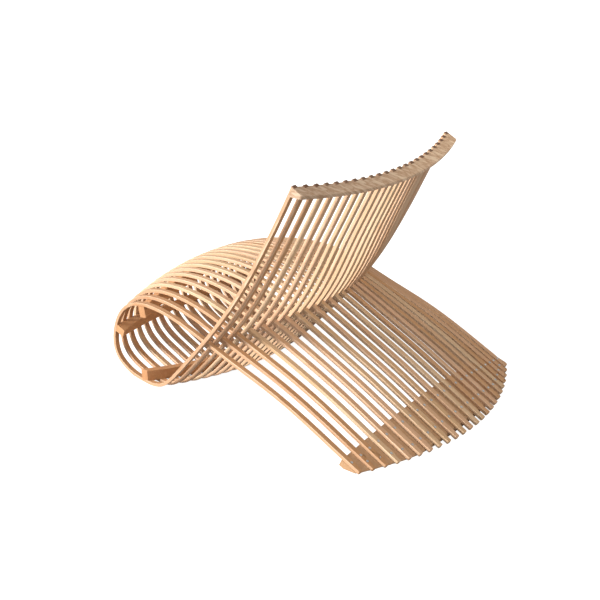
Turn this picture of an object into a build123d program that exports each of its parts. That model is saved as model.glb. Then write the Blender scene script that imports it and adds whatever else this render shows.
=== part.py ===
from math import cos, floor, pi
import os

from build123d import *

os.makedirs("parts", exist_ok=True)

# ------------------------------------------------------------------
# Lounge chair woven from bent wooden slats, in millimetres.
# X runs across the seat, +Y to the rear feet, +Z up; the origin is on
# the floor under the middle of the chair's outline. Each slat leaves a
# rear foot, climbs forward to the seat, turns under at the nose, lies
# on the floor, rises through the gaps between its neighbours' feet and
# ends at the top of the back.
# ------------------------------------------------------------------

# slats
slat_count = 24
slat_width = 16
slat_thickness = 10.5
foot_corner_radius = 5      # rounded corners of the rear feet
slat_sections = 88          # cross-sections along one slat

# centre-to-centre spacing of the slats at four places round the loop
strand_gap = 1.3            # side clearance where the feet pass between the backs
crossing_pitch = 2 * (slat_width + strand_gap)
foot_pitch = 34.8
nose_pitch = 30.6
top_pitch = 32.1
crossing_shift = crossing_pitch / 4     # each strand steps aside by this at the crossing

# joinery
wood_clearance = 0.3        # round a slat let into a rail
housing_depth = 1.5         # how deep a slat is let into a rail
screw_head_radius = 4
screw_head_depth = 2.6
screw_rim = 0.4             # edge of the head above its cone
screw_shank_radius = 1.8
screw_length = 22
screw_clearance = 0.3       # round the screw in its hole

# side profile of a slat's centreline, from the rear foot round to the top of the back:
# (middle y, middle z, outer y, outer z)
belly_height = slat_thickness / 2
profile = [
    (558, 4.8, 443, 4.8),       # 0 rear foot end
    (359, 114, 315, 67),        # 1 end of the straight foot leg
    (165, 211, 142, 141),       # 2
    (1, 291, -37, 199),         # 3
    (-162, 341, -196, 252),     # 4 rear of the seat
    (-313, 349, -338, 271),     # 5 front of the seat
    (-462, 315, -467, 243),     # 6
    (-553, 228, -539, 162),     # 7 nose
    (-522, 121, -543, 52),      # 8
    (-404, 49, -472, 10.4),     # 9
    (-261, belly_height, -397, belly_height),   # 10 belly, lying on the floor
    (-143, 70, -246, 80),       # 11
    (80, 333, -4, 361),         # 12 lower back
    (181, 539, 106, 547),       # 13 start of the straight upper back
    (270, 716, 206, 739),       # 14 top end
]
belly_row = 10
last_row = len(profile) - 1
foot_crossing_rows = (2.8, 3.4)     # where a foot passes the backs: middle slat, outer slat
back_crossing_rows = (11.8, 11.5)   # where a back passes the feet
nose_row = 7.45

# foot board, under the rear feet
board_thickness = 20
board_front = (410, 386)            # front edge y: middle, outer
board_rear = (527, 482)             # rear edge y before the feet's ends limit it
board_end_margin = 8                # least distance from the board to the feet's ends
board_housing = 200                 # length of the feet let into the board
screw_from_front = (30, 25)         # middle, outer
screw_from_rear = (27, 15)

# rails inside the loop, between the seat and the belly
rail_width = 26
rail_depth = 34
seat_front_rail_rows = (7.79, 7.10)     # places along the profile: middle, outer
seat_top_rail_rows = (5.46, 5.42)
seat_bottom_rail_rows = (10.0, 10.0)

# rail behind the top of the back
top_rail_drop = 1.2         # below the slats' ends
top_rail_depth = 35
top_rail_height = 29        # against the slats
top_rail_rear_height = 12
top_rail_overhang = 3       # past the outer slats' sides
top_rail_corner_radius = 9


# ------------------------------------------------------------------
# where things are
# ------------------------------------------------------------------

def blended(middle, outer, side):
    """Value for a place across the chair, where side runs from -1 to 1."""
    return middle + (outer - middle) * side ** 2


def half_spread(pitch):
    return pitch * (slat_count - 1) / 2


def profile_points(side):
    return [Vector(0, blended(a, c, side), blended(b, d, side)) for a, b, c, d in profile]


def slat_path(side):
    """A slat's centreline seen from the side: straight, two curves, straight."""
    p = profile_points(side)
    level = Vector(0, 1, 0)
    with BuildLine() as line:
        Line(p[0], p[1])
        Spline(*p[1:belly_row + 1], tangents=[p[1] - p[0], level])
        Spline(*p[belly_row:-1], tangents=[level, p[-1] - p[-2]])
        Line(p[-2], p[-1])
    return line.wire()


def share_at_row(side, row):
    """Share of the slat's length at a place given in rows of the profile."""
    p = profile_points(side)
    steps = [(b - a).length for a, b in zip(p, p[1:])]
    whole = min(floor(row), last_row - 1)
    return (sum(steps[:whole]) + steps[whole] * (row - whole)) / sum(steps)


def sideways(side, share):
    """Distance from the chair's middle plane, eased from one key place to the next."""
    rows = (0, blended(*foot_crossing_rows, side), nose_row,
            blended(*back_crossing_rows, side), last_row)
    marks = [share_at_row(side, row) for row in rows]
    at_crossing = side * half_spread(crossing_pitch)
    places = (side * half_spread(foot_pitch), at_crossing - crossing_shift,
              side * half_spread(nose_pitch), at_crossing + crossing_shift,
              side * half_spread(top_pitch))
    leg = 0
    while leg < 3 and share > marks[leg + 1]:
        leg += 1
    done = (share - marks[leg]) / (marks[leg + 1] - marks[leg])
    ease = (1 - cos(pi * done)) / 2
    return places[leg] + (places[leg + 1] - places[leg]) * ease


def across_slat(side, path, share):
    """Plane square to a slat: local X across it, local Y out of its outer face."""
    at = path.position_at(share * path.length, position_mode=PositionMode.LENGTH)
    along = path.tangent_at(share * path.length, position_mode=PositionMode.LENGTH)
    return Plane((sideways(side, share), at.Y, at.Z), x_dir=(1, 0, 0), z_dir=along)


def beside_slat(side, path, share):
    """Upright plane facing +X: local X along the slat, local Y out of its inner face."""
    square = across_slat(side, path, share)
    return Plane(square.origin, x_dir=square.z_dir, z_dir=(1, 0, 0))


slat_sides = [1 - 2 * i / (slat_count - 1) for i in range(slat_count)]
slat_paths = [slat_path(side) for side in slat_sides]


def slat_stretch(side, path, first, last, steps, grow=0):
    """Lofted length of a slat, or of the housing for it when grow is above 0."""
    with BuildPart() as stretch:
        for k in range(steps + 1):
            share = first + (last - first) * k / steps
            with BuildSketch(across_slat(side, path, share)):
                Rectangle(slat_width + 2 * grow, slat_thickness + 2 * grow)
        loft()
    return stretch.part


def housings(rows, reach):
    """Room for every slat, with clearance, as far as reach either side of a place."""
    spaces = []
    for side, path in zip(slat_sides, slat_paths):
        share = share_at_row(side, blended(*rows, side))
        first = max(0, share - reach / path.length)
        last = min(1, share + reach / path.length)
        spaces.append(slat_stretch(side, path, first, last, 6, wood_clearance))
    return spaces


# ------------------------------------------------------------------
# screws through the rear feet into the foot board
# ------------------------------------------------------------------

def slat_end_y(side):
    return blended(profile[0][0], profile[0][2], side)


def board_front_y(side):
    return blended(*board_front, side)


def board_rear_y(side):
    return min(blended(*board_rear, side), slat_end_y(side) - board_end_margin)


def screw_planes(side, path):
    """Planes on a foot's top face at its screws, facing up out of the wood."""
    p = profile_points(side)
    ys = [board_front_y(side) + blended(*screw_from_front, side),
          board_rear_y(side) - blended(*screw_from_rear, side)]
    if abs(side) > 0.99:
        ys = ys[:1]
    planes = []
    for y in ys:
        share = share_at_row(side, (p[0].Y - y) / (p[0].Y - p[1].Y))
        square = across_slat(side, path, share)
        top = square.origin + square.y_dir * slat_thickness / 2
        planes.append(Plane(top, x_dir=(1, 0, 0), z_dir=square.y_dir))
    return planes


def screw_shape(plane, grow=0):
    """Countersunk screw, or its hole when grow is above 0."""
    head = screw_head_radius + grow
    shank = screw_shank_radius + grow
    with BuildPart() as screw:
        with BuildSketch(Plane(plane.origin, x_dir=plane.x_dir, z_dir=plane.y_dir * -1)):
            with BuildLine():
                Polyline((0, 6 * grow), (head, 6 * grow), (head, -screw_rim),
                         (shank, -screw_head_depth), (shank, -screw_length - grow),
                         (0, -screw_length - grow), close=True)
            make_face()
        revolve(axis=Axis(plane.origin, plane.z_dir))
    return screw.part


all_screw_planes = [screw_planes(side, path) for side, path in zip(slat_sides, slat_paths)]

with BuildPart() as foot_board_screws:
    for planes in all_screw_planes:
        for plane in planes:
            add(screw_shape(plane))

foot_board_screws.part.label = "foot_board_screws"
export_step(foot_board_screws.part, "parts/foot_board_screws.step")


# ------------------------------------------------------------------
# slats
# ------------------------------------------------------------------

def foot_corners(side, path):
    """Wood taken off the two corners of a rear foot."""
    end = across_slat(side, path, 0)
    r = foot_corner_radius
    flat = Plane(end.origin, x_dir=end.x_dir, z_dir=end.y_dir)     # local Y runs off the foot's end
    with BuildPart() as corners:
        with BuildSketch(flat):
            with Locations((0, -r / 2)):
                Rectangle(slat_width + 2, r + 2)
            with Locations((0, -slat_width)):
                RectangleRounded(slat_width + 0.5, 2 * slat_width, r, mode=Mode.SUBTRACT)
        extrude(amount=slat_thickness, both=True)
    return corners.part


def build_slat(number):
    side, path = slat_sides[number], slat_paths[number]
    with BuildPart() as slat:
        add(slat_stretch(side, path, 0, 1, slat_sections))
        add(foot_corners(side, path), mode=Mode.SUBTRACT)
        for plane in all_screw_planes[number]:
            add(screw_shape(plane, screw_clearance), mode=Mode.SUBTRACT)
    return slat


for number in range(slat_count):
    slat = build_slat(number)
    slat.part.label = f"slat_{number + 1:02d}"
    export_step(slat.part, f"parts/slat_{number + 1:02d}.step")


# ------------------------------------------------------------------
# foot board: a curved plank under the rear feet, cut flat by the floor
# ------------------------------------------------------------------

def board_outline(side):
    """Corners of the board's cross-section as (y, z): top front, top rear, low rear, low front."""
    p = profile_points(side)
    along = (p[1] - p[0]).normalized()
    under = Vector(0, -along.Z, along.Y)       # square to the foot, into the board
    seat = p[0] + under * (slat_thickness / 2 - housing_depth)
    rise = along.Z / along.Y
    front, rear = board_front_y(side), board_rear_y(side)
    top_front = Vector(0, front, seat.Z + (front - seat.Y) * rise)
    top_rear = Vector(0, rear, seat.Z + (rear - seat.Y) * rise)
    low_front = top_front + under * (board_thickness + housing_depth)
    low_rear = Vector(0, rear, low_front.Z + (rear - low_front.Y) * rise)
    return [(v.Y, v.Z) for v in (top_front, top_rear, low_rear, low_front)]


board_end = half_spread(foot_pitch) + slat_width / 2

with BuildPart() as foot_board:
    for k in range(-8, 9):
        side = k / 8 * board_end / half_spread(foot_pitch)
        with BuildSketch(Plane.YZ.offset(k / 8 * board_end)):
            with BuildLine():
                Polyline(*board_outline(side), close=True)
            make_face()
    loft()
    split(bisect_by=Plane.XY, keep=Keep.TOP)
    for space in housings((0, 0), board_housing):
        add(space, mode=Mode.SUBTRACT)
    for planes in all_screw_planes:
        for plane in planes:
            add(screw_shape(plane, screw_clearance), mode=Mode.SUBTRACT)

foot_board.part.label = "foot_board"
export_step(foot_board.part, "parts/foot_board.step")


# ------------------------------------------------------------------
# rails inside the loop
# ------------------------------------------------------------------

def build_inner_rail(rows):
    reach = 1 + slat_width / 2 / half_spread(nose_pitch)
    with BuildPart() as rail:
        for k in range(-6, 7):
            side = reach * k / 6
            path = slat_path(side)
            with BuildSketch(beside_slat(side, path, share_at_row(side, blended(*rows, side)))):
                with Locations((0, (slat_thickness + rail_depth - housing_depth) / 2)):
                    Rectangle(rail_width, rail_depth + housing_depth)
        loft()
        for space in housings(rows, rail_width):
            add(space, mode=Mode.SUBTRACT)
    return rail


seat_front_rail = build_inner_rail(seat_front_rail_rows)
seat_front_rail.part.label = "seat_front_rail"
export_step(seat_front_rail.part, "parts/seat_front_rail.step")

seat_top_rail = build_inner_rail(seat_top_rail_rows)
seat_top_rail.part.label = "seat_top_rail"
export_step(seat_top_rail.part, "parts/seat_top_rail.step")

seat_bottom_rail = build_inner_rail(seat_bottom_rail_rows)
seat_bottom_rail.part.label = "seat_bottom_rail"
export_step(seat_bottom_rail.part, "parts/seat_bottom_rail.step")


# ------------------------------------------------------------------
# top rail, behind the slats' upper ends
# ------------------------------------------------------------------

near = housing_depth - slat_thickness / 2
far = -slat_thickness / 2 - top_rail_depth
top_rail_outline = [(-top_rail_drop, near), (-top_rail_drop, far),
                    (-top_rail_drop - top_rail_rear_height, far),
                    (-top_rail_drop - top_rail_height, near)]

with BuildPart() as top_rail:
    for k in range(-6, 7):
        side = k / 6 * (1 + (slat_width / 2 + top_rail_overhang) / half_spread(top_pitch))
        with BuildSketch(beside_slat(side, slat_path(side), 1)):
            with BuildLine():
                Polyline(*top_rail_outline, close=True)
            make_face()
    loft()
    rear_corners = [edge for edge in top_rail.edges()
                    if abs(edge.length - top_rail_rear_height) < 0.1]
    fillet(rear_corners, top_rail_corner_radius)
    for space in housings((last_row, last_row), 2 * top_rail_height):
        add(space, mode=Mode.SUBTRACT)

top_rail.part.label = "top_rail"
export_step(top_rail.part, "parts/top_rail.step")
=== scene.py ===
import bmesh
import bpy
import heapq
import math
import random
from mathutils import Matrix, Vector
from mathutils.bvhtree import BVHTree


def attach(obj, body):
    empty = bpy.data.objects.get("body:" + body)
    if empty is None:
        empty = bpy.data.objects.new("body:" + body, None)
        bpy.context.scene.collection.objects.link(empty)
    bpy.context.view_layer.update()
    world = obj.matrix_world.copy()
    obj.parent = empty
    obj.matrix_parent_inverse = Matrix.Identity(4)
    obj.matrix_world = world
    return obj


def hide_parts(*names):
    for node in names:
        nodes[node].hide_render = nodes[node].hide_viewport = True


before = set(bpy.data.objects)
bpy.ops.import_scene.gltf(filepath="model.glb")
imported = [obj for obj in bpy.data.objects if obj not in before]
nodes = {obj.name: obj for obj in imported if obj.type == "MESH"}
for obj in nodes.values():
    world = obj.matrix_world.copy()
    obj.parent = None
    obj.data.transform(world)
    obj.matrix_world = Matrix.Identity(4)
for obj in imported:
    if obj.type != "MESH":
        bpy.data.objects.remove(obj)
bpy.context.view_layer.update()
scene = bpy.context.scene
print("frame loaded,", len(nodes), "nodes")


# --- small helpers used by every piece

edgeLook = {
    "strayShare": 0.6,      # of the width: a bevelled point further off the solid is stray
    "smoothBelow": 60,      # degrees
    "crispAbove": 20,       # degrees, at holes and housings
    "faceWeight": 100,      # how much more the large faces count in the shading
}


def selectOnly(*objects):
    bpy.ops.object.select_all(action="DESELECT")
    for item in objects:
        item.select_set(True)
    bpy.context.view_layer.objects.active = objects[0]


def mergedCopy(nodeName, pieceName, mergeDistance):
    piece = bpy.data.objects.new(pieceName, nodes[nodeName].data.copy())
    scene.collection.objects.link(piece)
    piece.data.name = pieceName
    piece.data.materials.clear()
    selectOnly(piece)
    bpy.ops.object.mode_set(mode="EDIT")
    bpy.ops.mesh.select_all(action="SELECT")
    bpy.ops.mesh.remove_doubles(threshold=mergeDistance)
    bpy.ops.object.mode_set(mode="OBJECT")
    bpy.ops.mesh.customdata_custom_splitnormals_clear()
    return piece


def edgeMiddle(edge):
    return (edge.verts[0].co + edge.verts[1].co) / 2


def isSharp(edge, degrees):
    return edge.is_manifold and edge.calc_face_angle() > math.radians(degrees)


def bevelEdges(piece, look, isLeft):
    selectOnly(piece)
    bpy.ops.object.mode_set(mode="EDIT")
    bpy.ops.mesh.select_mode(type="EDGE")
    bpy.ops.mesh.select_all(action="DESELECT")
    edit = bmesh.from_edit_mesh(piece.data)
    for edge in edit.edges:
        edge.select_set(isSharp(edge, look["easedAbove"]) and not isLeft(edgeMiddle(edge)))
    bmesh.update_edit_mesh(piece.data)
    bpy.ops.mesh.bevel(offset=look["easedEdge"], segments=look["easeSteps"], profile=0.5,
                       affect="EDGES", clamp_overlap=False)
    bpy.ops.object.mode_set(mode="OBJECT")


def keepCrisp(piece, isLeft):
    # the edges of holes and housings aren't smoothed over
    edit = bmesh.new()
    edit.from_mesh(piece.data)
    for edge in edit.edges:
        if isSharp(edge, edgeLook["crispAbove"]) and isLeft(edgeMiddle(edge)):
            edge.smooth = False
    edit.to_mesh(piece.data)
    edit.free()


def easeEdges(piece, look, isLeft):
    # rounds the sharp edges, apart from those that isLeft keeps as they are
    corners = [vertex.co.copy() for vertex in piece.data.vertices]
    solid = BVHTree.FromPolygons(corners, [list(face.vertices) for face in piece.data.polygons])
    low = [min(corner[axis] for corner in corners) for axis in range(3)]
    high = [max(corner[axis] for corner in corners) for axis in range(3)]
    bevelEdges(piece, look, isLeft)
    for vertex in piece.data.vertices:
        nearest, normal, face, gap = solid.find_nearest(vertex.co)
        if gap > edgeLook["strayShare"] * look["easedEdge"]:    # thrown out where short edges meet
            vertex.co = nearest
        vertex.co = [min(max(value, least), most)
                     for value, least, most in zip(vertex.co, low, high)]
    bpy.ops.object.shade_smooth_by_angle(angle=math.radians(edgeLook["smoothBelow"]))
    keepCrisp(piece, isLeft)
    bpy.ops.object.modifier_add(type="WEIGHTED_NORMAL")
    shading = piece.modifiers[-1]
    shading.weight = edgeLook["faceWeight"]
    shading.keep_sharp = True
    bpy.ops.object.modifier_apply(modifier=shading.name)


def writeGrain(piece, grain, tone, stainsAndShade):
    # along the grain, across it and through it, in metres, a tone from 0 to 1 for the whole piece,
    # and how much each point is darkened, from 0 to 1: end grain on the slats, painted shade on the
    # top rail
    mesh = piece.data
    mesh.attributes.new("grain", "FLOAT_VECTOR", "POINT")
    mesh.attributes.new("tone", "FLOAT", "POINT")
    mesh.attributes.new("stainAndShade", "FLOAT", "POINT")
    for place, (value, stainedAndShaded) in enumerate(zip(grain, stainsAndShade)):
        mesh.attributes["grain"].data[place].vector = value
        mesh.attributes["tone"].data[place].value = tone
        mesh.attributes["stainAndShade"].data[place].value = stainedAndShaded


def dressPiece(piece, material, slotName, *replacedNodes):
    piece.data.materials.clear()
    piece.data.materials.append(material)
    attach(piece, "root")
    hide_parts(*replacedNodes)


# --- nodes that the finishes are built from

def addNode(tree, kind, **settings):
    node = tree.nodes.new(kind)
    for name, value in settings.items():
        setattr(node, name, value)
    return node


def emptyMaterial(name):
    material = bpy.data.materials.new(name)
    material.use_nodes = True
    material.node_tree.nodes.clear()
    return material


def stretchedNoise(tree, coordinates, stretch, detail, roughness, distortion=0.0):
    mapping = addNode(tree, "ShaderNodeMapping")
    mapping.inputs["Scale"].default_value = stretch
    noise = addNode(tree, "ShaderNodeTexNoise")
    noise.inputs["Scale"].default_value = 1
    noise.inputs["Detail"].default_value = detail
    noise.inputs["Roughness"].default_value = roughness
    noise.inputs["Distortion"].default_value = distortion
    tree.links.new(coordinates, mapping.inputs["Vector"])
    tree.links.new(mapping.outputs["Vector"], noise.inputs["Vector"])
    return noise.outputs["Fac"]


def ramp(tree, source, stops):
    node = addNode(tree, "ShaderNodeValToRGB")
    elements = node.color_ramp.elements
    while len(elements) < len(stops):
        elements.new(0.5)
    for element, (place, colour) in zip(elements, stops):
        element.position = place
        element.color = (*colour, 1) if isinstance(colour, tuple) else (colour, colour, colour, 1)
    tree.links.new(source, node.inputs["Fac"])
    return node.outputs["Color"]


def math2(tree, operation, first, second):
    node = addNode(tree, "ShaderNodeMath", operation=operation)
    for socket, value in zip(node.inputs, (first, second)):
        if isinstance(value, (int, float)):
            socket.default_value = value
        else:
            tree.links.new(value, socket)
    return node.outputs["Value"]


def layer(tree, blend, under, over, marks, strength=1):
    # lays a plain colour over another, where the marks are and as strongly as asked
    node = addNode(tree, "ShaderNodeMix", data_type="RGBA", blend_type=blend)
    factor = marks if strength == 1 else math2(tree, "MULTIPLY", marks, strength)
    tree.links.new(factor, node.inputs["Factor"])
    tree.links.new(under, node.inputs["A"])
    node.inputs["B"].default_value = (*over, 1)
    return node.outputs["Result"]


def addBump(tree, height, strength, depth):
    bump = addNode(tree, "ShaderNodeBump")
    bump.inputs["Strength"].default_value = strength
    bump.inputs["Distance"].default_value = depth
    tree.links.new(height, bump.inputs["Height"])
    return bump.outputs["Normal"]


def addGloss(tree, source, low, high):
    gloss = addNode(tree, "ShaderNodeMapRange")
    gloss.inputs["To Min"].default_value = low
    gloss.inputs["To Max"].default_value = high
    tree.links.new(source, gloss.inputs["Value"])
    return gloss.outputs["Result"]


def addShader(tree, colour, roughness, normal, **settings):
    shader = addNode(tree, "ShaderNodeBsdfPrincipled")
    for name, value in settings.items():
        shader.inputs[name.replace("_", " ")].default_value = value
    tree.links.new(colour, shader.inputs["Base Color"])
    tree.links.new(roughness, shader.inputs["Roughness"])
    tree.links.new(normal, shader.inputs["Normal"])
    output = addNode(tree, "ShaderNodeOutputMaterial")
    tree.links.new(shader.outputs["BSDF"], output.inputs["Surface"])


# --- wood, the same for every piece of it; each piece's own look comes with the piece

woodLook = {
    "logShift": {"X": 31, "Y": 53, "Z": 17},    # how far apart in the log the pieces are cut
    # detail and roughness of each noise
    "driftNoise": (2, 0.5),
    "ringNoise": (3, 0.55),
    "fibreNoise": (6, 0.7),
    "poreNoise": (2, 0.5),
    "ringStops": [(0.38, 0.0), (0.52, 1.0), (0.60, 0.25), (0.72, 0.9)],
    "fibreStops": [(0.35, 0.0), (0.70, 1.0)],
    "poreStops": [(0.62, 0.0), (0.70, 1.0)],
    "rubbedStops": [(0.86, 0.0), (1.0, 1.0)],
    "rubbedWander": 0.1,
    # the sides of a strip get a painted highlight between these stops
    "sideHighlightStops": [(0.90, 0.0), (0.98, 1.0)],
    "fibreHeight": 0.6,
    "poreHeight": -0.5,
    "reliefDepth": 0.0004,
    "specular": 0.35,
    "oilRoughness": 0.4,
    "sheen": 0.05,
}


def wornEdgesAndSideHighlight(tree, colour, grain, fibres, look):
    # rubbed edges are a little paler than the broad faces, from wear; the sides of a strip are
    # painted paler as a painted highlight
    split = addNode(tree, "ShaderNodeSeparateXYZ")
    tree.links.new(grain, split.inputs["Vector"])
    across, through = (
        math2(tree, "DIVIDE", math2(tree, "ABSOLUTE", split.outputs[axis], 0), look[half])
        for axis, half in (("Y", "halfWidth"), ("Z", "halfDepth")))
    nearEdge = math2(tree, "MINIMUM", across, through)
    wander = math2(tree, "MULTIPLY", fibres, woodLook["rubbedWander"])
    rubbed = ramp(tree, math2(tree, "ADD", nearEdge, wander), woodLook["rubbedStops"])
    colour = layer(tree, "MIX", colour, look["rubbedTint"], rubbed, look["rubbed"])
    # painted highlight: the sides of the strip are painted paler
    sides = ramp(tree, across, woodLook["sideHighlightStops"])
    return layer(tree, "MIX", colour, look["sideHighlightTint"], sides, look["sides"])


def woodFinish(name, look):
    material = emptyMaterial(name)
    tree = material.node_tree
    grain = addNode(tree, "ShaderNodeAttribute", attribute_name="grain").outputs["Vector"]
    tone = addNode(tree, "ShaderNodeAttribute", attribute_name="tone").outputs["Fac"]

    shift = addNode(tree, "ShaderNodeCombineXYZ")
    for axis, amount in woodLook["logShift"].items():
        tree.links.new(math2(tree, "MULTIPLY", tone, amount), shift.inputs[axis])
    placed = addNode(tree, "ShaderNodeVectorMath", operation="ADD")
    tree.links.new(grain, placed.inputs[0])
    tree.links.new(shift.outputs["Vector"], placed.inputs[1])
    wood = placed.outputs["Vector"]

    drift = stretchedNoise(tree, wood, look["driftStretch"], *woodLook["driftNoise"])
    rings = stretchedNoise(tree, wood, look["ringStretch"], *woodLook["ringNoise"],
                           look["ringWave"])
    fibres = stretchedNoise(tree, wood, look["fibreStretch"], *woodLook["fibreNoise"])
    pores = stretchedNoise(tree, wood, look["poreStretch"], *woodLook["poreNoise"])

    drifted = math2(tree, "MULTIPLY", math2(tree, "SUBTRACT", drift, 0.5), look["drift"])
    colour = ramp(tree, math2(tree, "ADD", tone, drifted), look["tones"])
    poreMarks = ramp(tree, pores, woodLook["poreStops"])
    for kind, marks in (("ring", ramp(tree, rings, woodLook["ringStops"])),
                        ("fibre", ramp(tree, fibres, woodLook["fibreStops"])),
                        ("pore", poreMarks)):
        colour = layer(tree, "MULTIPLY", colour, look[kind + "Tint"], marks, look[kind + "Depth"])
    if "halfWidth" in look:
        colour = wornEdgesAndSideHighlight(tree, colour, grain, fibres, look)

    # darkened places: the slats' end grain, and painted shade that greys the top rail towards its
    # near (+x) end
    if "stainAndShadeTint" in look:
        stainAndShade = addNode(tree, "ShaderNodeAttribute", attribute_name="stainAndShade").outputs["Fac"]
        stainedAndShaded = ramp(tree, stainAndShade, [(look["stainAndShadeFrom"], 0.0), (1.0, 1.0)])
        colour = layer(tree, "MULTIPLY", colour, look["stainAndShadeTint"], stainedAndShaded)

    relief = math2(tree, "ADD", math2(tree, "MULTIPLY", fibres, woodLook["fibreHeight"]),
                   math2(tree, "MULTIPLY", poreMarks, woodLook["poreHeight"]))
    addShader(tree, colour, addGloss(tree, fibres, look["roughest"], look["smoothest"]),
              addBump(tree, relief, look["bump"], woodLook["reliefDepth"]),
              Specular_IOR_Level=woodLook["specular"], Coat_Weight=look["oil"],
              Coat_Roughness=woodLook["oilRoughness"], Sheen_Weight=woodLook["sheen"])
    return material


# --- where the screws are: the flat tops of the heads, read from the frame

screwLook = {
    "headRadius": 0.0040,
    "rimDepth": 0.0004,
    "coneDepth": 0.0026,
    "shankRadius": 0.0018,
    "length": 0.022,
    "pointLength": 0.002,
    "pointShare": 0.55,     # the point's end against the shank
    "recessRadius": 0.0021,
    "recessWaist": 0.0010,
    "recessArm": 0.72,      # above this the cosine of twice the turn belongs to an arm
    "lipDepth": 0.0002,
    "lipShare": 0.94,
    "recessDepth": 0.0016,
    "recessShare": 0.55,    # the recess's floor against its mouth
    "sides": 24,
    "smoothBelow": 35,      # degrees
    "turnSeed": 5,
    "flatTop": 0.8,         # a face that points up more than this is part of a head's top
    "headSpread": 2.2,      # faces of one head lie within this many of its radii
    "clearOfHoles": 0.0065,
    "finish": {
        "dull": (0.80, 0.79, 0.77),
        "bright": (0.97, 0.96, 0.95),
        "hazeScale": 160,
        "hazeNoise": (2, 0.5),      # detail and roughness
        "markScale": 2600,
        "markNoise": (3, 0.6),
        "smoothest": 0.30,
        "roughest": 0.55,
        "bump": 0.12,
        "bumpDepth": 0.0001,
    },
}


def findScrewHeads():
    heads = []
    for face in nodes["foot_board_screws"].data.polygons:
        if face.normal.z < screwLook["flatTop"]:
            continue
        for head in heads:
            apart = (head["seed"] - face.center).length
            if apart < screwLook["headSpread"] * screwLook["headRadius"]:
                break
        else:
            head = {"seed": face.center.copy(), "area": 0, "sum": Vector(), "up": Vector()}
            heads.append(head)
        head["area"] += face.area
        head["sum"] += face.center * face.area
        head["up"] += face.normal * face.area
    return [(head["sum"] / head["area"], head["up"].normalized()) for head in heads]


screwHeads = findScrewHeads()
print("screw heads found:", len(screwHeads))


def nearScrew(point):
    return any((point - centre).length < screwLook["clearOfHoles"] for centre, up in screwHeads)


# --- slats

slatLook = {
    "count": 24,
    "mergeDistance": 0.0003,
    "easedEdge": 0.0010,
    "easeSteps": 2,
    "easedAbove": 50,       # degrees between two faces
    "stationLength": 0.015,
    "wholeWidth": 0.012,    # a station with less of the slat's width in it is left out
    "footReach": 0.02,      # how much of the foot's end the distances start from
    "footSlope": 1.1,       # distance along the foot against distance forwards
    "darkEnd": 0.012,       # how far below its highest point a slat's end grain reaches
    "toneSeed": 23,
    "finish": {
        "tones": [(0.0, (0.67, 0.48, 0.30)), (0.25, (0.60, 0.39, 0.21)), (0.5, (0.67, 0.43, 0.27)),
                  (0.75, (0.57, 0.33, 0.16)), (1.0, (0.49, 0.26, 0.12))],
        "drift": 0.25,
        "driftStretch": (2.2, 40, 40),
        "ringStretch": (2.6, 210, 210),
        "ringWave": 0.6,
        "ringDepth": 0.45,
        "ringTint": (0.74, 0.58, 0.42),
        "fibreStretch": (26, 1300, 1300),
        "fibreDepth": 0.45,
        "fibreTint": (0.78, 0.66, 0.54),
        "poreStretch": (110, 2600, 2600),
        "poreDepth": 0.5,
        "poreTint": (0.60, 0.44, 0.30),
        "halfWidth": 0.0080,
        "halfDepth": 0.00525,
        "rubbed": 0.35,
        "rubbedTint": (0.80, 0.62, 0.44),
        # the sides' paler tint is a painted highlight
        "sides": 0.14,
        "sideHighlightTint": (0.90, 0.77, 0.62),
        "bump": 0.35,
        "roughest": 0.58,
        "smoothest": 0.36,
        "oil": 0.20,
        "stainAndShadeTint": (0.34, 0.29, 0.27),
        "stainAndShadeFrom": 0.9,
    },
}


def distanceFromFoot(mesh):
    # shortest way over the mesh's edges, starting at the foot's end, which lies furthest back
    rear = max(vertex.co.y for vertex in mesh.vertices)
    ways = [[] for vertex in mesh.vertices]
    for edge in mesh.edges:
        a, b = edge.vertices
        step = (mesh.vertices[a].co - mesh.vertices[b].co).length
        ways[a].append((b, step))
        ways[b].append((a, step))
    best = [math.inf] * len(mesh.vertices)
    queue = []
    for vertex in mesh.vertices:
        if vertex.co.y > rear - slatLook["footReach"]:
            best[vertex.index] = slatLook["footSlope"] * (rear - vertex.co.y)
            queue.append((best[vertex.index], vertex.index))
    heapq.heapify(queue)
    while queue:
        reached, place = heapq.heappop(queue)
        if reached > best[place]:
            continue
        for other, step in ways[place]:
            if reached + step < best[other]:
                best[other] = reached + step
                heapq.heappush(queue, (best[other], other))
    return best


def slatStations(mesh, along):
    # middle of the slat at even steps of its length
    groups = {}
    for vertex, distance in zip(mesh.vertices, along):
        groups.setdefault(round(distance / slatLook["stationLength"]), []).append(vertex.co)
    stations = []
    for key in sorted(groups):
        points = groups[key]
        low, high = min(p.x for p in points), max(p.x for p in points)
        if high - low > slatLook["wholeWidth"]:
            middle = sum(points, Vector()) / len(points)
            middle.x = (low + high) / 2
            stations.append((key * slatLook["stationLength"], middle))
    return stations


def slatGrain(mesh):
    along = distanceFromFoot(mesh)
    stations = slatStations(mesh, along)
    grain = []
    for vertex, distance in zip(mesh.vertices, along):
        later = next((k for k, s in enumerate(stations) if s[0] > distance), len(stations) - 1)
        later = max(later, 1)
        (d0, p0), (d1, p1) = stations[later - 1], stations[later]
        share = min(max((distance - d0) / (d1 - d0), 0), 1)
        middle = p0.lerp(p1, share)
        run = (p1 - p0).normalized()
        outward = Vector((0, run.z, -run.y))
        grain.append((distance, vertex.co.x - middle.x, (vertex.co - middle).dot(outward)))
    return grain


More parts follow.
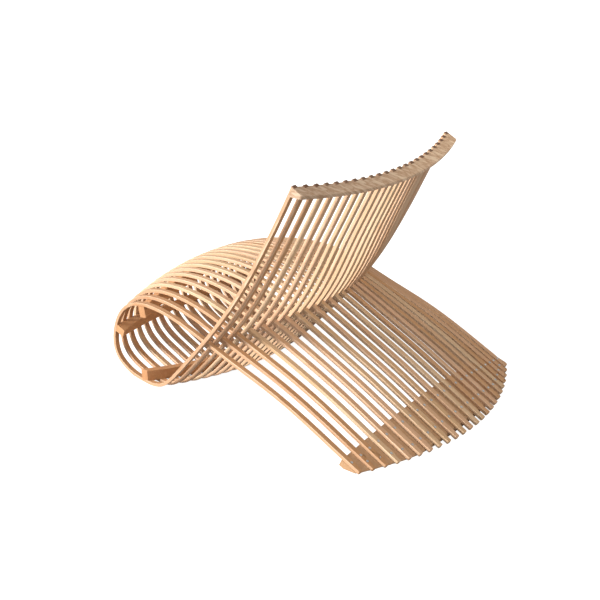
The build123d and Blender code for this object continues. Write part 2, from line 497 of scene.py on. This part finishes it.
def buildSlats():
    finish = woodFinish("palePolishedSlat", slatLook["finish"])
    tones = random.Random(slatLook["toneSeed"])
    for number in range(1, slatLook["count"] + 1):
        nodeName = f"slat_{number:02d}"
        slat = mergedCopy(nodeName, f"bentSlat.{number:02d}", slatLook["mergeDistance"])
        easeEdges(slat, slatLook, nearScrew)
        heights = [vertex.co.z for vertex in slat.data.vertices]
        topEnd = max(heights) - slatLook["darkEnd"]
        darkened = [1 if height > topEnd else 0 for height in heights]
        writeGrain(slat, slatGrain(slat.data), tones.random(), darkened)
        dressPiece(slat, finish, "slat_wood", nodeName)


buildSlats()
print("slats done")


# --- rails and foot board

railLook = {
    "mergeDistance": 0.00002,
    "easedEdge": 0.0012,
    "easeSteps": 2,
    "easedAbove": 40,       # degrees between two faces
    "keepClearOfSlats": 0.0025,
    "toneSeed": 3,
    "topSlant": 38,         # degrees between the top rail and its grain
    # painted shade: the top rail is painted darker and greyer towards its near (+x) end
    "nearEndShadeWidth": 0.7,       # the top rail turns from tan to grey over this width
    "backRun": {
        # the slats' straight tops from the side: (y, z) at the middle slat and at the outer ones
        "lower": ((0.181, 0.539), (0.106, 0.547)),
        "upper": ((0.270, 0.716), (0.206, 0.739)),
        "outerX": 0.3692,
        "lastSide": 0.3770,
        "halfDepth": 0.00525,
        "frontFrom": 0.0008,
        "closeBy": 0.0045,
    },
    "innerFinish": {
        "tones": [(0.0, (0.62, 0.36, 0.18)), (0.5, (0.54, 0.29, 0.13)), (1.0, (0.46, 0.22, 0.10))],
        "drift": 0.5,
        "driftStretch": (3, 30, 30),
        "ringStretch": (3.5, 260, 90),
        "ringWave": 0.8,
        "ringDepth": 0.40,
        "ringTint": (0.70, 0.52, 0.36),
        "fibreStretch": (30, 1200, 1200),
        "fibreDepth": 0.35,
        "fibreTint": (0.76, 0.62, 0.50),
        "poreStretch": (100, 2400, 2400),
        "poreDepth": 0.5,
        "poreTint": (0.55, 0.40, 0.28),
        "bump": 0.4,
        "roughest": 0.64,
        "smoothest": 0.45,
        "oil": 0.06,
    },
    "topFinish": {
        "tones": [(0.0, (0.98, 0.74, 0.50)), (0.5, (0.96, 0.70, 0.46)), (1.0, (0.90, 0.64, 0.41))],
        "drift": 0.6,
        "driftStretch": (5, 60, 60),
        "ringStretch": (5, 30, 100),
        "ringWave": 0.15,
        "ringDepth": 0.9,
        "ringTint": (0.60, 0.46, 0.36),
        "fibreStretch": (34, 1200, 1200),
        "fibreDepth": 0.4,
        "fibreTint": (0.74, 0.64, 0.56),
        "poreStretch": (90, 2200, 2200),
        "poreDepth": 0.55,
        "poreTint": (0.52, 0.42, 0.34),
        "bump": 0.45,
        "roughest": 0.66,
        "smoothest": 0.46,
        "oil": 0.06,
        # painted shade, darker and greyer towards the rail's near (+x) end
        "stainAndShadeTint": (0.60, 0.60, 0.63),
        "stainAndShadeFrom": 0.0,
    },
    "plankFinish": {
        "tones": [(0.0, (0.53, 0.34, 0.20)), (0.5, (0.47, 0.29, 0.16)), (1.0, (0.42, 0.25, 0.13))],
        "drift": 0.6,
        "driftStretch": (4, 25, 25),
        "ringStretch": (3.2, 120, 200),
        "ringWave": 0.9,
        "ringDepth": 0.40,
        "ringTint": (0.74, 0.58, 0.42),
        "fibreStretch": (28, 1200, 1200),
        "fibreDepth": 0.35,
        "fibreTint": (0.78, 0.66, 0.54),
        "poreStretch": (100, 2400, 2400),
        "poreDepth": 0.5,
        "poreTint": (0.60, 0.44, 0.30),
        "bump": 0.35,
        "roughest": 0.64,
        "smoothest": 0.45,
        "oil": 0.06,
    },
}


def slatSurface():
    corners, faces = [], []
    for number in range(1, slatLook["count"] + 1):
        mesh = nodes[f"slat_{number:02d}"].data
        start = len(corners)
        corners += [vertex.co.copy() for vertex in mesh.vertices]
        faces += [[start + place for place in face.vertices] for face in mesh.polygons]
    return BVHTree.FromPolygons(corners, faces)


def closeBetweenSlats(rail):
    # brings the top rail's front forward between the slats; towards the rail's two ends some corners
    # of the housings come along, and run up to 4 mm into the slats, inside the joints
    run = railLook["backRun"]
    for vertex in rail.data.vertices:
        if abs(vertex.co.x) > run["lastSide"]:
            continue
        side = (vertex.co.x / run["outerX"]) ** 2
        lower, upper = (Vector(run[end][0]).lerp(Vector(run[end][1]), side)
                        for end in ("lower", "upper"))
        along = (upper - lower).normalized()
        forward = Vector((0, -along.y, along.x))
        depth = (vertex.co - Vector((0, *upper))).dot(forward) + run["halfDepth"]
        if depth > run["frontFrom"]:
            vertex.co += forward * run["closeBy"]


def slantedGrain(mesh, slant):
    return [(x * math.cos(slant) + z * math.sin(slant), y,
             z * math.cos(slant) - x * math.sin(slant))
            for x, y, z in (vertex.co for vertex in mesh.vertices)]


def buildRails():
    slats = slatSurface()
    clear = railLook["keepClearOfSlats"]
    tones = random.Random(railLook["toneSeed"])
    inner = woodFinish("warmRailWood", railLook["innerFinish"])
    plank = woodFinish("palePlankWood", railLook["plankFinish"])
    top = woodFinish("nearEndShadedRailWood", railLook["topFinish"])

    def atJoint(point):
        return nearScrew(point) or slats.find_nearest(point, clear)[0] is not None

    for nodeName, pieceName, finish, slotName in (
            ("top_rail", "headRail", top, "top_rail_wood"),
            ("foot_board", "footPlank", plank, "rail_wood"),
            ("seat_front_rail", "noseRail", inner, "rail_wood"),
            ("seat_top_rail", "seatRail", inner, "rail_wood"),
            ("seat_bottom_rail", "floorRail", inner, "rail_wood")):
        rail = mergedCopy(nodeName, pieceName, railLook["mergeDistance"])
        if finish is top:
            closeBetweenSlats(rail)
        easeEdges(rail, railLook, atJoint)
        slant = math.radians(railLook["topSlant"] if finish is top else 0)
        # painted shade on the top rail, full at its near (+x) end
        nearEndShade = [min(max(0.5 + vertex.co.x / railLook["nearEndShadeWidth"], 0), 1) if finish is top else 0
                  for vertex in rail.data.vertices]
        writeGrain(rail, slantedGrain(rail.data, slant), tones.random(), nearEndShade)
        dressPiece(rail, finish, slotName, nodeName)


buildRails()
print("rails and foot board done")


# --- screws: one is modelled standing up and copied to every head

def turnedSteel(name, look):
    material = emptyMaterial(name)
    tree = material.node_tree
    place = addNode(tree, "ShaderNodeTexCoord").outputs["Object"]
    marks = stretchedNoise(tree, place, [look["markScale"]] * 3, *look["markNoise"])
    haze = stretchedNoise(tree, place, [look["hazeScale"]] * 3, *look["hazeNoise"])
    colour = ramp(tree, haze, [(0.3, look["dull"]), (0.7, look["bright"])])
    addShader(tree, colour, addGloss(tree, marks, look["smoothest"], look["roughest"]),
              addBump(tree, marks, look["bump"], look["bumpDepth"]), Metallic=1)
    return material


def widen(vertices, size):
    for vertex in vertices:
        vertex.co.x *= size
        vertex.co.y *= size


def modelScrew():
    look = screwLook
    bpy.ops.object.select_all(action="DESELECT")
    bpy.ops.mesh.primitive_cylinder_add(vertices=look["sides"], radius=look["headRadius"],
                                        depth=look["rimDepth"], end_fill_type="NGON",
                                        location=(0, 0, -look["rimDepth"] / 2))
    screw = bpy.context.active_object
    screw.name = "footScrews"
    bpy.ops.object.transform_apply(location=True)
    bpy.ops.object.mode_set(mode="EDIT")
    bpy.ops.mesh.select_mode(type="FACE")

    def pickFace(up):
        # the end face that points up (1) or down (-1)
        bpy.ops.mesh.select_all(action="DESELECT")
        edit = bmesh.from_edit_mesh(screw.data)
        edit.normal_update()
        face = max(edit.faces, key=lambda f: f.normal.z * up * 10 + f.calc_center_median().z * up)
        face.select_set(True)
        bmesh.update_edit_mesh(screw.data)

    def pickedCorners(edit):
        return {v for face in edit.faces if face.select for v in face.verts}

    def stretch(lower, size):
        # pulls the picked face down (or pushes it in) and makes it size times as wide
        bpy.ops.mesh.extrude_region_move(TRANSFORM_OT_translate={"value": (0, 0, -lower)})
        edit = bmesh.from_edit_mesh(screw.data)
        widen(pickedCorners(edit), size)
        bmesh.update_edit_mesh(screw.data)

    pickFace(-1)
    stretch(look["coneDepth"] - look["rimDepth"], look["shankRadius"] / look["headRadius"])
    stretch(look["length"] - look["coneDepth"] - look["pointLength"], 1)
    stretch(look["pointLength"], look["pointShare"])

    # crosswise recess: a ring is set in, its waist drawn together, and sunk
    pickFace(1)
    bpy.ops.mesh.inset(thickness=look["headRadius"] - look["recessRadius"], depth=0)
    edit = bmesh.from_edit_mesh(screw.data)
    waist = [v for v in pickedCorners(edit)
             if abs(math.cos(2 * math.atan2(v.co.y, v.co.x))) <= look["recessArm"]]
    widen(waist, look["recessWaist"] / look["recessRadius"])
    bmesh.update_edit_mesh(screw.data)
    stretch(look["lipDepth"], look["lipShare"])
    stretch(look["recessDepth"], look["recessShare"])
    bpy.ops.object.mode_set(mode="OBJECT")
    return screw


def buildScrews():
    master = modelScrew()
    turns = random.Random(screwLook["turnSeed"])
    copies = []
    for centre, up in screwHeads:
        copy = bpy.data.objects.new(master.name, master.data.copy())
        scene.collection.objects.link(copy)
        turned = up.to_track_quat("Z", "Y").to_matrix().to_4x4()
        spin = Matrix.Rotation(turns.uniform(0, math.pi), 4, "Z")
        copy.data.transform(Matrix.Translation(centre) @ turned @ spin)
        copies.append(copy)
    bpy.data.objects.remove(master)
    selectOnly(*copies)
    bpy.ops.object.join()
    screws = bpy.context.active_object
    screws.name = "footScrews"
    bpy.ops.object.shade_smooth_by_angle(angle=math.radians(screwLook["smoothBelow"]))
    dressPiece(screws, turnedSteel("zincedSteel", screwLook["finish"]), "screw_steel",
               "foot_board_screws")


buildScrews()
print("screws done")


# --- floor, light and camera

floorLook = {
    "size": 60,
    "below": 0.0004,
    "colour": (0.38, 0.38, 0.375),
    "speck": (0.42, 0.42, 0.415),
    "speckScale": 9,
    "speckNoise": (3, 0.5),     # detail and roughness
    "roughness": 0.85,
    "specular": 0.1,
    "glow": 0.95,       # added where the camera sees the floor; it doesn't light the chair
}


def cameraGlow(tree, strength):
    seen = addNode(tree, "ShaderNodeLightPath")
    return math2(tree, "MULTIPLY", seen.outputs["Is Camera Ray"], strength)


def buildFloor():
    bpy.ops.object.select_all(action="DESELECT")
    bpy.ops.mesh.primitive_plane_add(size=floorLook["size"], location=(0, 0, -floorLook["below"]))
    floor = bpy.context.active_object
    floor.name = "studioFloor"
    material = bpy.data.materials.new("paleFloor")
    material.use_nodes = True
    tree = material.node_tree
    shader = tree.nodes["Principled BSDF"]
    shader.inputs["Roughness"].default_value = floorLook["roughness"]
    shader.inputs["Specular IOR Level"].default_value = floorLook["specular"]
    shader.inputs["Emission Color"].default_value = (1, 1, 1, 1)
    tree.links.new(cameraGlow(tree, floorLook["glow"]), shader.inputs["Emission Strength"])
    place = addNode(tree, "ShaderNodeTexCoord").outputs["Object"]
    speck = stretchedNoise(tree, place, [floorLook["speckScale"]] * 3, *floorLook["speckNoise"])
    colour = ramp(tree, speck, [(0.35, floorLook["colour"]), (0.65, floorLook["speck"])])
    tree.links.new(colour, shader.inputs["Base Color"])
    floor.data.materials.append(material)


lightLook = {
    "sky": (1.0, 1.0, 1.0),
    "skyStrength": 0.28,
    "skyGlow": 0.72,        # added where the camera sees the sky, to make it as white as the floor
    "softboxes": [
        # name, where it comes from, how wide it looks in degrees, strength, colour
        ("frontLight", (3.3, -2.7, 1.7), 20, 6.4, (1.0, 0.99, 0.98)),
        ("topLight", (0.8, 2.6, 2.8), 60, 1.65, (1.0, 0.99, 0.98)),
    ],
    "aim": (0, 0, 0.3),
}


def lightUp():
    world = bpy.data.worlds.new("studioSky")
    world.use_nodes = True
    tree = world.node_tree
    sky = tree.nodes["Background"]
    sky.inputs["Color"].default_value = (*lightLook["sky"], 1)
    glow = cameraGlow(tree, lightLook["skyGlow"])
    seenStrength = math2(tree, "ADD", glow, lightLook["skyStrength"])
    tree.links.new(seenStrength, sky.inputs["Strength"])
    scene.world = world
    for name, place, width, strength, colour in lightLook["softboxes"]:
        bpy.ops.object.light_add(type="SUN", location=place)
        box = bpy.context.active_object
        box.name = name
        box.data.angle = math.radians(width)
        box.data.energy = strength
        box.data.color = colour
        aim = Vector(lightLook["aim"]) - Vector(place)
        box.rotation_euler = aim.to_track_quat("-Z", "Y").to_euler()


cameraLook = {
    "place": (2.2829, 1.7576, 1.4399),
    "azimuth": 128.808,     # degrees, like elevation and roll
    "elevation": 22.313,
    "roll": -0.686,
    "lens": 60.515,
    "sensor": 36,
}


def placeCamera():
    azimuth, elevation, roll = (math.radians(cameraLook[key])
                                for key in ("azimuth", "elevation", "roll"))
    forward = Vector((-math.sin(azimuth) * math.cos(elevation),
                      math.cos(azimuth) * math.cos(elevation), -math.sin(elevation)))
    level = Vector((math.cos(azimuth), math.sin(azimuth), 0))
    upright = level.cross(forward)
    right = level * math.cos(roll) + upright * math.sin(roll)
    up = upright * math.cos(roll) - level * math.sin(roll)
    bpy.ops.object.camera_add()
    camera = bpy.context.active_object
    camera.data.lens = cameraLook["lens"]
    camera.data.sensor_width = cameraLook["sensor"]
    turned = Matrix((right, up, -forward)).transposed().to_4x4()
    camera.matrix_world = Matrix.Translation(cameraLook["place"]) @ turned
    scene.camera = camera


buildFloor()
lightUp()
placeCamera()
scene.view_settings.view_transform = "Standard"
print("floor, light and camera done")
